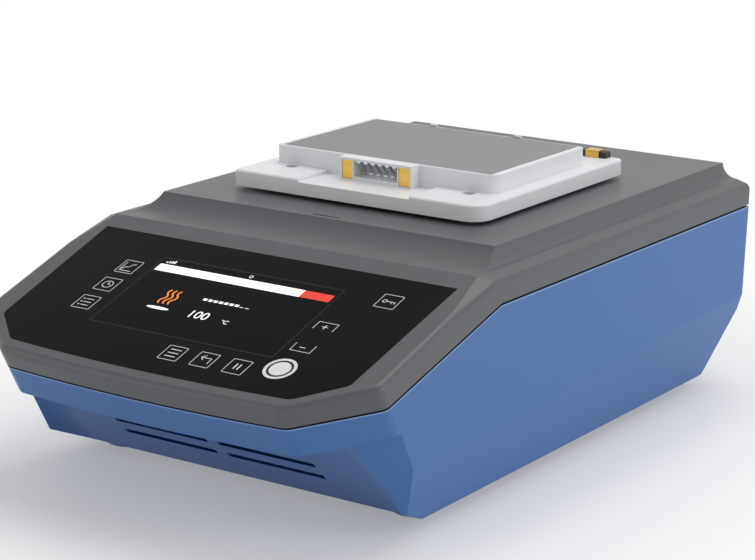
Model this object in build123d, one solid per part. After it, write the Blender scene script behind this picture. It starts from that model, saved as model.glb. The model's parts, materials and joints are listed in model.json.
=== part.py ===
from build123d import *
from math import cos, hypot, radians, sin, tan
import os

# Thermal mixer: a wedge-shaped bench casing with a sloping glass panel in front,
# and behind it a heated table that runs on a small horizontal orbit.
# Millimetres, +Z up, +Y towards the back, origin under the middle of the casing on the bench.

# Casing, outer form
casing_length = 370.4
casing_half_width = 117.2
side_draft = 0.022
rear_draft = 0.035
front_lean = 0.53
front_bow = 2.6
front_half_width = 81.4
corner_angle = 42.4
corner_lean = 0.382
corner_start = 35.2
front_corner_radius = 10.0
side_corner_radius = 6.0
wall = 3.0

# Parting line between the lower casing and the cover
parting_height = 97.9
parting_slope_angle = 16.7
parting_kink = 125.5
seam_gap = 0.9
tongue_height = 4.0
tongue_inset = 1.5
tongue_clearance = 0.2

# Lower casing, underside
bottom_height = 5.0
crease_height_front = 34.6
crease_height_rear = 49.2
lower_side_tuck = 0.31
rear_tuck_height = 40.0
rear_tuck = 0.56
bottom_edge_radius = 2.5

# Recess under the front lip, and its vents
lip_height = 16.5
leg_setback = 3.1
leg_rise = 0.43
recess_half_width = 109.5
recess_wall_slope = 1.039
recess_wall_run = 79.7
recess_blend_radius = 18.0
recess_corner_radius = 6.5
vent_length = 57.0
vent_width = 2.6
vent_middle_gap = 6.8
vent_heights = (20.4, 28.2)

# Feet
foot_top_radius = 15.5
foot_bottom_radius = 10.0
foot_boss_top = 12.0
pad_radius = 8.0
pad_thickness = 2.4
pad_proud = 0.8
front_foot_x = 88.0
front_foot_y = -88.0
rear_foot_x = 84.0
rear_foot_y = 136.0

# Sloping panel, measured up the slope from the casing's foremost edge
panel_angle = 18.6
panel_front_height = 72.4
cover_edge_radius = 3.4
glass_thickness = 1.6
glass_top = 112.0
glass_top_half_width = 105.4
glass_side_start = 29.0
glass_side_half_width = 102.4
glass_front = 11.5
glass_front_half_width = 82.5
glass_front_radius = 8.0
glass_side_radius = 4.0
glass_clearance = 0.2

# Cover behind the panel
shoulder_height = 111.9
shoulder_fall = 0.29
plateau_foot_half_width = 109.2
side_roll_slope = 0.26
side_roll_fall = 0.4
side_roll_start = 75.0
plateau_height = 119.5
plateau_half_width = 100.8
plateau_front = 144.7
plateau_front_run = 19.0
plateau_edge_radius = 1.6
mark_length = 16.7
mark_width = 1.3
mark_depth = 1.0
mark_setback = 3.7

# Orbit drive
orbit_radius = 1.5
table_y = 53.5
shaft_radius = 5.0
crank_pin_radius = 4.0
pin_length = 9.0
fit_clearance = 0.05
open_pivot_clearance = 0.3
running_gap = 0.8
thrust_gap = 0.4
crank_thickness = 4.2
counterweight_radius = 27.0
counterweight_angle = 150.0

# Table
tray_half_width = 75.3
tray_half_length = 68.4
tray_corner_radius = 2.5
tray_near_corner_radius = 10.5
tray_bottom = 121.5
tray_top = 129.9
tray_skirt = 4.0
tray_floor = 4.4
tray_edge_radius = 1.4
plate_half_width = 64.0
plate_half_length = 41.1
plate_thickness = 6.0
plate_corner_radius = 1.0
plate_clearance = 0.15
plate_top = 139.5
rim_side_wall = 2.65
rim_end_wall = 1.25
rim_corner_radius = 1.5
rim_near_corner_radius = 6.8
rim_edge_radius = 0.8
heater_thickness = 0.5
fixing_hole_radius = 3.25
fixing_half_x = 54.6
fixing_half_y = 46.4
notch_half_width = 34.0
notch_depth = 1.8
table_screw_x = 30.0
table_screw_y = 24.0
table_screw_radius = 1.5
table_screw_head = 3.0

# Connector at the front of the table
connector_half_width = 22.2
connector_projection = 6.6
connector_border = 1.3
connector_recess_depth = 7.0
block_width = 6.8
block_depth = 4.0
block_sunk = 0.4
connector_rib = 0.7
finger_count = 6
finger_pitch = 4.4
finger_width = 2.3
finger_thickness = 0.5
finger_drop = 6.0

# Small pieces at the back of the table
clip_x = 26.6
clip_width = 4.0
clip_thickness = 1.0
clip_hook = 1.6
latch_x = 60.5
latch_width = 16.0
latch_length = 5.0
latch_height = 3.2
latch_strip_width = 8.0
latch_strip_thickness = 0.6

# Carrier below the table, in the cover's opening
carrier_half_width = 44.0
carrier_half_length = 36.0
carrier_corner_radius = 6.0
carrier_thickness = 7.0
opening_clearance = 3.6
collar_width = 2.0
collar_height = 3.4

# Drive frame inside
frame_plate_bottom = 80.0
frame_plate_thickness = 7.0
frame_half_width = 62.0
frame_half_length = 50.0
frame_corner_radius = 8.0
pillar_radius = 6.0
pillar_inset = 9.0
chassis_rise = 6.0
chassis_thickness = 2.0
chassis_half_width = 70.0
chassis_front = -64.0
chassis_rear = 150.0
chassis_corner_radius = 6.0
chassis_flange = 8.0
boss_radius = 5.0
boss_bore_radius = 1.6
chassis_screw_inset = 8.0
bearing_width = 7.0
bearing_wall = 4.5
bearing_fit = 0.02
motor_radius = 29.0
motor_height = 40.0
motor_fin_count = 18
motor_screw_circle = 17.0
motor_screw_radius = 1.5
idler_shaft_radius = 4.0
idler_pin_radius = 3.0
idler_x = 33.0
idler_y = 24.0
idler_disc_radius = 8.5
boss_wall = 1.5

# Rear connections
inlet_x = 62.0
inlet_height = 70.0
inlet_flange_width = 48.0
inlet_flange_height = 26.0
inlet_flange_thickness = 2.2
inlet_body_depth = 24.0
socket_width = 24.4
socket_height = 16.6
socket_depth = 17.0
socket_offset = 8.0
fuse_drawer_width = 9.0
fuse_drawer_height = 20.0
fuse_drawer_depth = 18.0
fuse_drawer_offset = -15.5
switch_x = 20.0
switch_flange_width = 15.0
switch_flange_height = 21.0
switch_body_depth = 16.0
rocker_width = 10.6
rocker_height = 16.0
rocker_swing = 8.0
rocker_radius = 9.0
rocker_pivot_depth = -2.0
rocker_proud = 2.6
rocker_dish = 1.2
rocker_pin_radius = 1.0
flange_proud = 1.6
port_proud = 0.8
usb_x = -2.0
usb_width = 12.2
usb_height = 11.0
serial_x = -28.0
serial_width = 31.0
serial_height = 12.6
serial_shell_proud = 2.4
port_height = 66.0
port_depth = 12.0
fan_x = -74.0
fan_height = 70.0
fan_size = 40.0
fan_depth = 10.0
fan_wall = 1.6
fan_hub_radius = 8.5
fan_clearance = 0.6
fan_pin_radius = 1.5
fan_blades = 7
fan_blade_pitch = 38.0
grille_slot_width = 2.6
grille_slot_pitch = 5.2
grille_slots = 7

# Start button in the panel
button_x = 63.2
button_along = 30.5
button_radius = 5.2
button_gap = 0.3
sleeve_wall = 0.9
ring_wall = 1.6
button_travel = 0.8
switch_height = 1.0

# Display and electronics
display_width = 112.0
display_length = 62.0
display_along = 66.2
display_border = 4.0
display_thickness = 4.0
board_gap = 2.2
board_thickness = 1.6
board_width = 176.0
board_length = 88.0
board_margin = 16.0
supply_width = 104.0
supply_length = 50.0
supply_height = 30.0
supply_y = -33.0
driver_width = 100.0
driver_length = 38.0
driver_y = 126.0
standoff_height = 5.0
casing_screw_radius = 2.0
casing_screw_head_radius = 3.6
casing_screw_head_bottom = 70.0
casing_screw_bite = 7.0
casing_boss_radius = 6.0
casing_screw_x = 94.0
casing_screw_front_y = -48.0
casing_screw_rear_y = 104.0

# Places that follow from the sizes above
rear_y = casing_length / 2
front_y = -rear_y
kink_y = front_y + parting_kink
corner_y = front_y + corner_start
parting_slope = tan(radians(parting_slope_angle))
corner_height = parting_height - parting_slope * (kink_y - corner_y)
lip_at_front = parting_height - lip_height - parting_slope * (kink_y - front_y)
front_radius = (front_half_width**2 + front_bow**2) / (2 * front_bow)
plateau_front_y = front_y + plateau_front
axis_y = table_y - orbit_radius
frame_plate_top = frame_plate_bottom + frame_plate_thickness
crank_bottom = frame_plate_top + running_gap
crank_top = crank_bottom + crank_thickness
boss_bottom = crank_top + thrust_gap
carrier_top = tray_top - tray_floor
carrier_bottom = carrier_top - carrier_thickness
rim_half_width = plate_half_width + plate_clearance + rim_side_wall
rim_half_length = plate_half_length + plate_clearance + rim_end_wall
rim_front_y = table_y - rim_half_length
plate_bottom = plate_top - plate_thickness
heater_bottom = plate_bottom - heater_thickness
opening_half_width = carrier_half_width + orbit_radius + opening_clearance
opening_half_length = carrier_half_length + orbit_radius + opening_clearance
floor_top = bottom_height + wall
chassis_bottom = floor_top + chassis_rise
chassis_top = chassis_bottom + chassis_thickness
sleeve_outer = button_radius + button_gap + sleeve_wall
ring_outer = sleeve_outer + ring_wall
board_depth = wall + display_thickness + board_gap
block = 2000.0

panel = Plane(
    origin=(0, front_y, panel_front_height),
    x_dir=(1, 0, 0),
    z_dir=(0, -sin(radians(panel_angle)), cos(radians(panel_angle))),
)


def save(name, shape):
    """Write one node's solids to its file."""
    export_step(shape, f"parts/{name}.step")


def group(solids):
    """Join separate solids into one node."""
    return Compound(children=[item.solid() for item in solids])


def disc(radius, bottom, top, x=0.0, y=0.0):
    return Pos(x, y, (bottom + top) / 2) * Cylinder(radius, top - bottom)


def tube(outer, inner, bottom, top, x=0.0, y=0.0):
    return disc(outer, bottom, top, x, y) - disc(inner, bottom - 1, top + 1, x, y)


def slab(half_x, half_y, bottom, top, radius, y=0.0):
    """A plate with rounded corners in plan."""
    outline = Pos(0, y, bottom) * RectangleRounded(2 * half_x, 2 * half_y, radius)
    return extrude(outline, top - bottom)


def near_rounded(half_x, half_y, bottom, top, radius, near_radius, y=0.0):
    """A plate whose front right corner is rounder than the other three."""
    outline = Pos(0, y, bottom) * Rectangle(2 * half_x, 2 * half_y)
    corners = outline.vertices()
    near = corners.sort_by_distance((half_x, y - half_y, bottom))[0]
    outline = fillet(near, near_radius)
    others = outline.vertices().sort_by_distance((half_x, y - half_y, bottom))[2:]
    return extrude(fillet(others, radius), top - bottom)


def brick(x_low, x_high, y_low, y_high, z_low, z_high):
    middle = Pos((x_low + x_high) / 2, (y_low + y_high) / 2, (z_low + z_high) / 2)
    return middle * Box(x_high - x_low, y_high - y_low, z_high - z_low)


def trim(shape, faces, inset=0.0):
    """Keep what lies behind every face, each given by a point and an outward direction."""
    for point, outward in faces:
        direction = Vector(*outward).normalized()
        plane = Plane(origin=Vector(*point) - direction * inset, z_dir=direction)
        shape = split(shape, bisect_by=plane, keep=Keep.BOTTOM)
    return shape


def front_barrel(inset):
    """The backward-leaning, slightly bowed front, as the inside of a very large cylinder."""
    outward = Vector(0, -1, -front_lean).normalized()
    upward = Vector(0, -front_lean, 1).normalized()
    centre = Vector(0, front_y, panel_front_height) - outward * front_radius
    return Plane(origin=centre, z_dir=upward) * Cylinder(front_radius - inset, block)


def side_x(height):
    return casing_half_width - side_draft * (parting_height - height)


def rear_face_y(height):
    return rear_y - rear_draft * (parting_height - height)


def corner_faces():
    """The two faces that cut off the casing's front corners."""
    angle = radians(corner_angle)
    faces = []
    for side in (-1, 1):
        corner = (side * side_x(corner_height), corner_y, corner_height)
        faces.append((corner, (side * sin(angle), -cos(angle), -corner_lean)))
    return faces


def upper_side_faces():
    sides = [((side * casing_half_width, 0, parting_height), (side, 0, -side_draft)) for side in (-1, 1)]
    return sides + corner_faces()


def parting_faces(raised=0.0):
    kink = (0, kink_y, parting_height + raised)
    return [(kink, (0, 0, 1)), (kink, (0, -parting_slope, 1))]


def lower_casing_faces():
    rise = crease_height_rear - crease_height_front
    widening = side_x(crease_height_rear) - side_x(crease_height_front)
    faces = upper_side_faces()
    for side in (-1, 1):
        outward = (
            side * casing_length,
            rise * lower_side_tuck - widening,
            -casing_length * lower_side_tuck,
        )
        start = (side * side_x(crease_height_front), front_y, crease_height_front)
        faces.append((start, outward))
    faces.append(((0, rear_y, parting_height), (0, 1, -rear_draft)))
    tuck_y = rear_face_y(rear_tuck_height)
    faces.append(((0, tuck_y, rear_tuck_height), (0, 1, -rear_tuck)))
    faces.append(((0, 0, bottom_height), (0, 0, -1)))
    faces.append(((0, front_y + recess_wall_run, bottom_height), (0, -leg_rise, -1)))
    return faces


def lower_form(inset):
    """The lower casing's outer form, inset all round, open towards the top."""
    start = brick(-block / 4, block / 4, -block / 4, block / 4, -block / 8, block / 8)
    return trim(start, lower_casing_faces(), inset) & front_barrel(inset)


def nearest_edges(shape, points):
    """The edge that passes closest to each point."""
    edges = shape.edges()
    return [edges.sort_by_distance(Vector(*point))[0] for point in points]


def recess_wall_y(height):
    return front_y + recess_wall_run - (height - bottom_height) / recess_wall_slope


def recess_cutter(inset=0.0):
    """The hollow under the front lip: a sloping wall that blends into the two legs."""
    foot_y = recess_wall_y(0)
    top_y = (recess_wall_slope * foot_y + parting_slope * front_y - lip_at_front) / (
        recess_wall_slope + parting_slope
    )
    top_height = lip_at_front + parting_slope * (top_y - front_y)
    forward = front_y - casing_length / 4
    below = -recess_half_width
    outline = Polyline(
        (top_y, top_height),
        (recess_wall_y(below), below),
        (forward, below),
        (forward, lip_at_front + parting_slope * (forward - front_y)),
        close=True,
    )
    profile = offset(make_face(outline), inset, kind=Kind.INTERSECTION)
    half = recess_half_width + inset
    cutter = extrude(Plane.YZ.offset(-half) * profile, 2 * half)
    wall_points = [(side * half, recess_wall_y(0) + inset, 0) for side in (-1, 1)]
    cutter = fillet(nearest_edges(cutter, wall_points), recess_blend_radius - inset)
    lip_points = [(side * half, front_y, lip_at_front + inset) for side in (-1, 1)]
    return fillet(nearest_edges(cutter, lip_points), recess_corner_radius - inset)


def leg_rebate(inset=0.0):
    """What is left out where the legs stand back from the lip at the casing's cut corners."""
    start = brick(-block / 4, block / 4, -block / 4, block / 4, -block / 8, block / 8)
    under = trim(start, [((0, front_y, lip_at_front), (0, -parting_slope, 1))], -inset)
    return under - trim(start, corner_faces(), leg_setback + inset)


def lower_edges(shape):
    """Round the upright corners of the lower casing, then its bottom edge."""
    low = bottom_height + 15
    high = corner_height
    front_corner_y = front_y + front_bow + front_lean * (panel_front_height - high)
    corners = []
    for side in (-1, 1):
        corners.append((side * front_half_width, front_corner_y, high))
    shape = fillet(nearest_edges(shape, corners), front_corner_radius)
    sides = []
    for side in (-1, 1):
        for height in (low, high):
            face_y = corner_y + corner_lean / cos(radians(corner_angle)) * (corner_height - height)
            inward = lower_side_tuck * max(0.0, crease_height_front - height)
            sides.append((side * (side_x(height) - inward), face_y, height))
    shape = fillet(nearest_edges(shape, sides), side_corner_radius)
    base = shape.faces().sort_by(Axis.Z)[0]
    return fillet(base.edges(), bottom_edge_radius)


def vent_slots():
    """Two rows of long slots through the recess wall."""
    slots = []
    for height in vent_heights:
        for side in (-1, 1):
            x = side * (vent_middle_gap + vent_length) / 2
            middle = Pos(x, recess_wall_y(height), height)
            slots.append(middle * Box(vent_length, 8 * wall, vent_width))
    return slots


def foot_positions():
    spots = []
    for side in (-1, 1):
        spots.append((side * front_foot_x, front_foot_y))
        spots.append((side * rear_foot_x, rear_foot_y))
    return spots


def foot_boss(x, y):
    """A moulded foot that bulges below the casing's floor and holds a pad."""
    outline = Polyline(
        (0, pad_proud),
        (foot_bottom_radius, pad_proud),
        (foot_top_radius, bottom_height),
        (foot_top_radius, foot_boss_top),
        (0, foot_boss_top),
        close=True,
    )
    profile = make_face(outline)
    rounded = profile.vertices().sort_by(Axis.X)[-2:].sort_by(Axis.Y)[0:1]
    profile = fillet(rounded, (bottom_height - pad_proud) / 2)
    return Pos(x, y) * revolve(Plane.XZ * profile, Axis.Z)


def chassis_boss_spots():
    x = chassis_half_width - chassis_screw_inset
    spots = []
    for side in (-1, 1):
        spots.append((side * x, chassis_front + chassis_screw_inset))
        spots.append((side * x, chassis_rear - chassis_screw_inset))
    return spots


def casing_screw_spots():
    spots = []
    for side in (-1, 1):
        spots.append((side * casing_screw_x, casing_screw_front_y))
        spots.append((side * casing_screw_x, casing_screw_rear_y))
    return spots


def rear_place(x, height):
    """A frame on the rear face, its x towards -X, its y up the face, its z outwards."""
    return Plane(
        origin=(x, rear_face_y(height), height),
        x_dir=(-1, 0, 0),
        z_dir=(0, 1, -rear_draft),
    )


def tongue():
    """The rim that stands up inside the cover's edge."""
    ring = lower_form(tongue_inset) - lower_form(wall)
    ring = trim(ring, parting_faces(tongue_height))
    return ring - trim(lower_form(0), parting_faces(-wall))


def casing_column(x, y):
    """A hollow column that takes a casing screw and meets the cover's boss."""
    column = disc(casing_boss_radius, 0, parting_height + seam_gap, x, y)
    return column & lower_form(wall / 2)


def lower_casing():
    shell = lower_edges(lower_form(0))
    shell -= recess_cutter() + leg_rebate()
    shell -= lower_form(wall) - recess_cutter(wall) - leg_rebate(wall)
    shell = trim(shell, parting_faces())
    shell += tongue()
    for x, y in casing_screw_spots():
        shell += casing_column(x, y)
        shell -= disc(casing_screw_head_radius, 0, casing_screw_head_bottom + 3, x, y)
        shell -= disc(casing_screw_radius, 0, block / 10, x, y)
    for x, y in chassis_boss_spots():
        shell += disc(boss_radius, floor_top - wall / 2, chassis_bottom, x, y)
        shell -= disc(boss_bore_radius, floor_top + 1, chassis_bottom, x, y)
    for x, y in foot_positions():
        shell += foot_boss(x, y)
        shell -= disc(pad_radius, 0, pad_thickness, x, y)
    for slot in vent_slots():
        shell -= slot
    for opening in rear_openings():
        shell -= opening
    return shell


def cover_faces():
    """The flat faces of the cover: upright sides, sloping panel, rolled sides and shoulders."""
    faces = upper_side_faces()
    faces.append(((0, rear_y, parting_height), (0, 1, 0)))
    faces.append(((0, front_y, panel_front_height), (0, -tan(radians(panel_angle)), 1)))
    faces.append(((0, 0, shoulder_height), (0, 0, 1)))
    roll_height = panel_front_height + side_roll_start * tan(radians(panel_angle))
    for side in (-1, 1):
        edge = (side * side_x(roll_height), front_y + side_roll_start, roll_height)
        faces.append((edge, (side * side_roll_fall, -side_roll_slope, 1)))
        foot = (side * plateau_foot_half_width, 0, shoulder_height)
        faces.append((foot, (side * shoulder_fall, 0, 1)))
    return faces


def cover_form(inset):
    start = brick(-block / 4, block / 4, -block / 4, block / 4, 0, block / 8)
    return trim(start, cover_faces(), inset) & front_barrel(inset)


def below_parting(raised):
    start = brick(-block / 4, block / 4, -block / 4, block / 4, -block / 8, block / 8)
    return trim(start, parting_faces(raised))


def plateau():
    """The raised rear deck: concave flanks along its sides and its front."""
    top = plateau_height
    foot = shoulder_height
    root = parting_height
    side_run = plateau_foot_half_width - plateau_half_width
    half = plateau_half_width
    side = Polyline((half, top), (-half, top)) + ThreePointArc(
        (-half, top), (-half - 0.27 * side_run, foot + 0.33 * (top - foot)), (-half - side_run, foot)
    )
    side += Line((-half - side_run, foot), (-half - side_run, root))
    side += Line((-half - side_run, root), (half + side_run, root))
    side += Line((half + side_run, root), (half + side_run, foot))
    side += ThreePointArc(
        (half + side_run, foot), (half + 0.27 * side_run, foot + 0.33 * (top - foot)), (half, top)
    )
    across = extrude(Plane.XZ.offset(-rear_y) * make_face(side), casing_length)
    foot_y = plateau_front_y - plateau_front_run
    front = Polyline((plateau_front_y, top), (rear_y, top), (rear_y, root), (foot_y, root), (foot_y, foot))
    front += ThreePointArc(
        (foot_y, foot),
        (plateau_front_y - 0.38 * plateau_front_run, foot + 0.36 * (top - foot)),
        (plateau_front_y, top),
    )
    along = extrude(Plane.YZ.offset(-casing_half_width) * make_face(front), 2 * casing_half_width)
    return across & along


def panel_outline(grown):
    """The glass's outline on the panel, with its cut corners and bowed front edge."""
    right = [
        (glass_top_half_width, glass_top),
        (glass_side_half_width, glass_side_start),
        (glass_front_half_width, glass_front),
    ]
    left = [(-x, y) for x, y in reversed(right)]
    edge = Polyline(*right) + Polyline(*left) + Line(left[-1], right[0])
    edge += ThreePointArc(right[-1], (0, glass_front - front_bow), left[0])
    outline = make_face(edge)
    corners = outline.vertices()
    front = corners.sort_by(Axis.Y)[0:2]
    outline = fillet(front, glass_front_radius)
    sides = outline.vertices().sort_by(lambda v: abs(v.Y - glass_side_start))[0:2]
    outline = fillet(sides, glass_side_radius)
    return offset(outline, grown)


def panel_cut(sketch, depth_from, depth_to):
    """A prism square to the panel, between two depths below its surface."""
    return extrude(panel.offset(-depth_to) * sketch, depth_to - depth_from)


def button_spot(radius):
    return Pos(button_x, button_along) * Circle(radius)


def display_window():
    return Pos(0, display_along) * Rectangle(
        display_width - 2 * display_border, display_length - 2 * display_border
    )


def table_opening(grown, bottom, top):
    corner = carrier_corner_radius + orbit_radius + opening_clearance
    return slab(
        opening_half_width + grown, opening_half_length + grown, bottom, top, corner + grown, axis_y
    )


def outer_edges(faces):
    """The edges that only one of the faces has."""
    edges = [edge for face in faces for edge in face.edges()]
    return [edge for edge in edges if sum(edge.is_same(other) for other in edges) == 1]


def cover_outside():
    """The cover's outer form with its corners and its top edge rounded."""
    shell = cover_form(0)
    low = panel_front_height / 2
    front_corner_y = front_y + front_bow + front_lean * low
    corners = [(side * front_half_width, front_corner_y, low) for side in (-1, 1)]
    shell = fillet(nearest_edges(shell, corners), front_corner_radius)
    side_y = corner_y + corner_lean / cos(radians(corner_angle)) * (corner_height - low)
    sides = [(side * side_x(low), side_y, low) for side in (-1, 1)]
    shell = fillet(nearest_edges(shell, sides), side_corner_radius)
    tops = shell.faces().filter_by(lambda face: face.normal_at().Z > 0.5)
    rim = [edge for edge in outer_edges(tops) if (edge @ 0.5).Y < rear_y - 1]
    return fillet(rim, cover_edge_radius)


def plateau_room():
    """The hollow under the rear deck."""
    return brick(
        -plateau_half_width + wall,
        plateau_half_width - wall,
        plateau_front_y + wall,
        rear_y - wall,
        parting_height,
        plateau_height - wall,
    )


def top_cover():
    shell = cover_outside() + plateau()
    shell -= cover_form(wall) + plateau_room()
    shell -= below_parting(seam_gap)
    edge_gap = tongue_inset - tongue_clearance
    rebate = lower_form(edge_gap) & below_parting(tongue_height + tongue_clearance)
    shell -= rebate
    for x, y in casing_screw_spots():
        column = disc(casing_boss_radius, 0, block / 10, x, y) & cover_form(wall / 2)
        shell += column - below_parting(seam_gap)
        shell -= disc(casing_screw_radius, 0, parting_height + seam_gap + casing_screw_bite, x, y)
    shell -= panel_cut(panel_outline(glass_clearance), -1, glass_thickness)
    shell -= panel_cut(display_window(), -1, 2 * wall)
    shell -= panel_cut(button_spot(ring_outer + glass_clearance), -1, 2 * wall)
    shell -= table_opening(0, parting_height, plateau_height + 1)
    collar_bottom = plateau_height - wall / 2
    collar = table_opening(collar_width, collar_bottom, plateau_height + collar_height)
    shell += collar - table_opening(0, parting_height, block / 10)
    mark_y = plateau_front_y + mark_setback
    mark = SlotOverall(mark_length, mark_width)
    shell -= extrude(Pos(0, mark_y, plateau_height - mark_depth) * mark, 2 * mark_depth)
    return shell


def glass_panel():
    sheet = panel_cut(panel_outline(0), 0, glass_thickness)
    return sheet - panel_cut(button_spot(ring_outer + fit_clearance), -1, 2 * wall)


def light_ring():
    ring = button_spot(ring_outer) - button_spot(sleeve_outer + fit_clearance)
    return panel_cut(ring, 0, wall)


def button_sleeve():
    """The black guide in which the start button slides; it stands on the controller board."""
    barrel = panel_cut(button_spot(sleeve_outer), 0, board_depth)
    return barrel - panel_cut(button_spot(button_radius + button_gap), -1, board_depth + 1)


def start_button():
    """A flat cap and a guide land on one stem that presses the switch on the board."""
    stem_end = board_depth - switch_height - button_travel - button_gap
    button = panel_cut(button_spot(button_radius), 0, glass_thickness)
    button += panel_cut(button_spot(button_radius / 2), 0, stem_end)
    button += panel_cut(button_spot(button_radius), stem_end - 2 * glass_thickness, stem_end - glass_thickness)
    return button


def display_module():
    """The display: a body under the cover with its face standing up into the window."""
    place = Pos(0, display_along)
    body = panel_cut(place * Rectangle(display_width, display_length), wall, wall + display_thickness)
    face = place * Rectangle(
        display_width - 2 * display_border - 2 * glass_clearance,
        display_length - 2 * display_border - 2 * glass_clearance,
    )
    return body + panel_cut(face, glass_thickness, wall)


def controller_board():
    """The board behind the display, with its spacers, its chips and the start switch."""
    top = board_depth
    place = Pos(0, display_along - display_length / 2 - board_margin + board_length / 2)
    board = panel_cut(place * Rectangle(board_width, board_length), top, top + board_thickness)
    corners = GridLocations(display_width - 12, display_length - 12, 2, 2)
    spacers = Sketch() + [Pos(0, display_along) * spot * Circle(2.5) for spot in corners]
    board += panel_cut(spacers, top - board_gap, top)
    board += panel_cut(button_spot(3.0), top - switch_height, top)
    chips = Sketch() + [Pos(x, display_along) * Rectangle(14, 14) for x in (-40, 0, 40)]
    board += panel_cut(chips, top + board_thickness, top + board_thickness + 2)
    return board


def foot_pads():
    return group([disc(pad_radius - fit_clearance, 0, pad_thickness, x, y) for x, y in foot_positions()])


def casing_screws():
    """Four screws deep in the lower casing's columns, up into the cover's bosses."""
    solids = []
    bottom = casing_screw_head_bottom
    tip = parting_height + seam_gap + casing_screw_bite
    for x, y in casing_screw_spots():
        head = disc(casing_screw_head_radius - fit_clearance, bottom, bottom + 3, x, y)
        solids.append(head + disc(casing_screw_radius - fit_clearance, bottom, tip, x, y))
    return group(solids)


def chassis_plate():
    """A folded sheet that carries the drive and the supplies, on bosses of the lower casing."""
    middle_y = (chassis_front + chassis_rear) / 2
    half_length = (chassis_rear - chassis_front) / 2
    sheet = slab(
        chassis_half_width, half_length, chassis_bottom, chassis_top, chassis_corner_radius, middle_y
    )
    for side in (-1, 1):
        inner = side * (chassis_half_width - chassis_thickness)
        outer = side * chassis_half_width
        sheet += brick(
            min(inner, outer),
            max(inner, outer),
            chassis_front + 2 * chassis_screw_inset,
            chassis_rear - 2 * chassis_screw_inset,
            chassis_bottom,
            chassis_bottom + chassis_flange,
        )
    for x, y in chassis_boss_spots():
        sheet -= disc(boss_bore_radius + fit_clearance, 0, block / 10, x, y)
    return sheet


def chassis_screws():
    solids = []
    for x, y in chassis_boss_spots():
        shank = disc(boss_bore_radius - fit_clearance, floor_top + 1, chassis_top + 1, x, y)
        solids.append(shank + disc(boss_bore_radius * 1.9, chassis_top, chassis_top + 2, x, y))
    return group(solids)


def pillar_spots():
    x = frame_half_width - pillar_inset
    y = frame_half_length - pillar_inset
    return [(side * x, axis_y + end * y) for side in (-1, 1) for end in (-1, 1)]


def drive_pillars():
    return group(
        [disc(pillar_radius, chassis_top, frame_plate_bottom, x, y) for x, y in pillar_spots()]
    )


def idler_spots():
    """Name and place of each idler crank's fixed axis."""
    return {
        "front_left": (-idler_x, axis_y - idler_y),
        "front_right": (idler_x, axis_y - idler_y),
        "rear_left": (-idler_x, axis_y + idler_y),
        "rear_right": (idler_x, axis_y + idler_y),
    }


def drive_frame():
    """The plate on four pillars that carries the motor, the main bearing and the idlers."""
    plate = slab(
        frame_half_width,
        frame_half_length,
        frame_plate_bottom,
        frame_plate_top,
        frame_corner_radius,
        axis_y,
    )
    main_bore = shaft_radius + fit_clearance + bearing_wall + bearing_fit
    plate -= disc(main_bore, 0, block / 10, 0, axis_y)
    idler_bore = idler_shaft_radius + fit_clearance + bearing_wall + bearing_fit
    for x, y in idler_spots().values():
        plate -= disc(idler_bore, 0, block / 10, x, y)
    for spot in PolarLocations(motor_screw_circle, 4, 45):
        plate -= Pos(0, axis_y) * spot * Cylinder(motor_screw_radius + fit_clearance, block / 5)
    for x, y in pillar_spots():
        plate -= disc(boss_bore_radius + fit_clearance, 0, block / 10, x, y)
    return plate


def frame_screws():
    solids = []
    for x, y in pillar_spots():
        head = disc(boss_bore_radius * 1.9, frame_plate_top, frame_plate_top + 2, x, y)
        solids.append(head + disc(boss_bore_radius, frame_plate_bottom + 0.1, frame_plate_top, x, y))
    return group(solids)


def bearing(inner, bottom, x, y):
    """A shielded ball bearing, as one ring."""
    return tube(inner + bearing_wall, inner, bottom, bottom + bearing_width, x, y)


def main_bearing():
    return bearing(shaft_radius + fit_clearance, frame_plate_bottom, 0, axis_y)


def idler_bearings():
    inner = idler_shaft_radius + fit_clearance
    return group([bearing(inner, frame_plate_bottom, x, y) for x, y in idler_spots().values()])


def carrier_bearings():
    """The bearings in the carrier: one on the crank pin, three with clearance on the idler pins."""
    solids = [bearing(crank_pin_radius + fit_clearance, boss_bottom, 0, table_y)]
    inner = idler_pin_radius + open_pivot_clearance
    for x, y in idler_spots().values():
        solids.append(bearing(inner, boss_bottom, x, y + orbit_radius))
    return group(solids)


def motor():
    """A flat brushless motor under the frame plate, its case ribbed for cooling."""
    bottom = frame_plate_bottom - motor_height
    case = disc(motor_radius, bottom, frame_plate_bottom, 0, axis_y)
    rib_low = bottom + 5
    rib_high = frame_plate_bottom - 8
    for spot in PolarLocations(motor_radius, motor_fin_count):
        slot = Pos(0, axis_y, (rib_low + rib_high) / 2) * spot * Box(3, 3, rib_high - rib_low)
        case -= slot
    case -= disc(shaft_radius + fit_clearance, bottom + 6, block / 10, 0, axis_y)
    for spot in PolarLocations(motor_screw_circle, 4, 45):
        hole = Pos(0, axis_y, frame_plate_bottom) * spot
        case -= hole * Cylinder(motor_screw_radius + fit_clearance, 12)
    return case


def motor_screws():
    solids = []
    for spot in PolarLocations(motor_screw_circle, 4, 45):
        place = Pos(0, axis_y) * spot
        shank = place * disc(motor_screw_radius, frame_plate_bottom - 5, frame_plate_top)
        solids.append(shank + place * disc(1.8 * motor_screw_radius, frame_plate_top, frame_plate_top + 0.5))
    return group(solids)


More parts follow.
